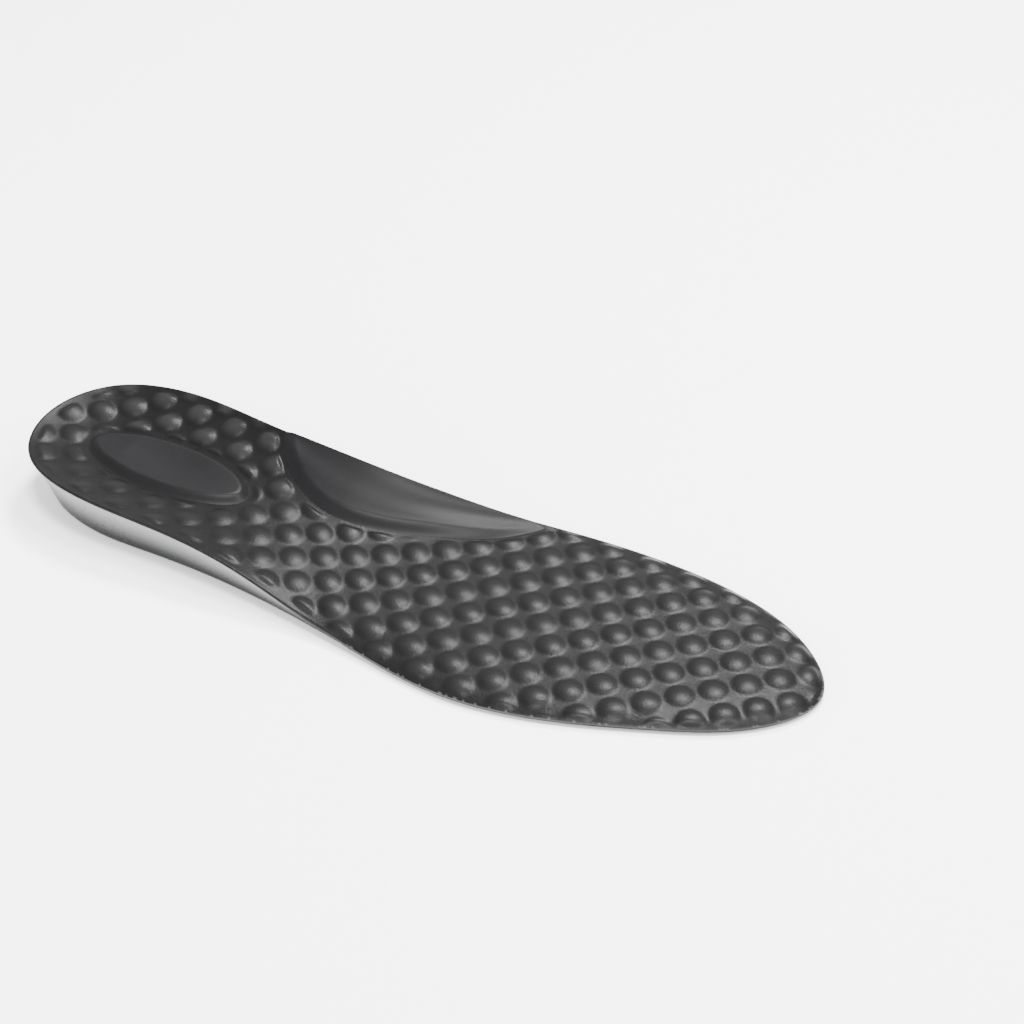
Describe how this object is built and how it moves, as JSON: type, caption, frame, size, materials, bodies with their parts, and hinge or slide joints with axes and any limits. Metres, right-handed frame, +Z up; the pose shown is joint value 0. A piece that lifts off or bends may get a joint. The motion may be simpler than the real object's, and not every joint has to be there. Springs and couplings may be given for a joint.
{
  "type": "cushioned insole",
  "caption": "Right-foot cushioned insole with a tapered heel lift, raised massage domes, an oval heel pad and an arch support pad.",
  "frame": {"origin": "middle of the flat underside, on the floor", "axes": "+X from heel to toe, +Y to the inner (arch) side, +Z up"},
  "size_m": [0.2657, 0.0864, 0.0196],
  "materials": {
    "cover": "charcoal synthetic leather, semi-matte",
    "pad": "smooth charcoal skin, satin",
    "foam": "soft dark foam, fine cells",
    "lift": "moulded foam with a smooth glossy skin",
    "shank": "springy plastic sheet, matte",
    "lining": "thin knitted cloth"
  },
  "bodies": {
    "rear_half": {"top_cover_rear": "cover", "footbed_foam_rear": "foam", "lining_rear": "lining", "heel_lift": "lift", "heel_pad": "pad", "arch_pad": "pad", "heel_cushion": "foam", "arch_shank": "shank"},
    "forefoot": {"top_cover_fore": "cover", "footbed_foam_fore": "foam", "lining_fore": "lining"}
  },
  "joints": [
    {"name": "forefoot_flex", "type": "hinge", "parent": "rear_half", "child": "forefoot", "pos_m": [0.036, 0, 0.0042], "axis": [0, -1, 0], "range_deg": [0, 45], "stiffness_Nm_per_rad": 0.05}
  ]
}
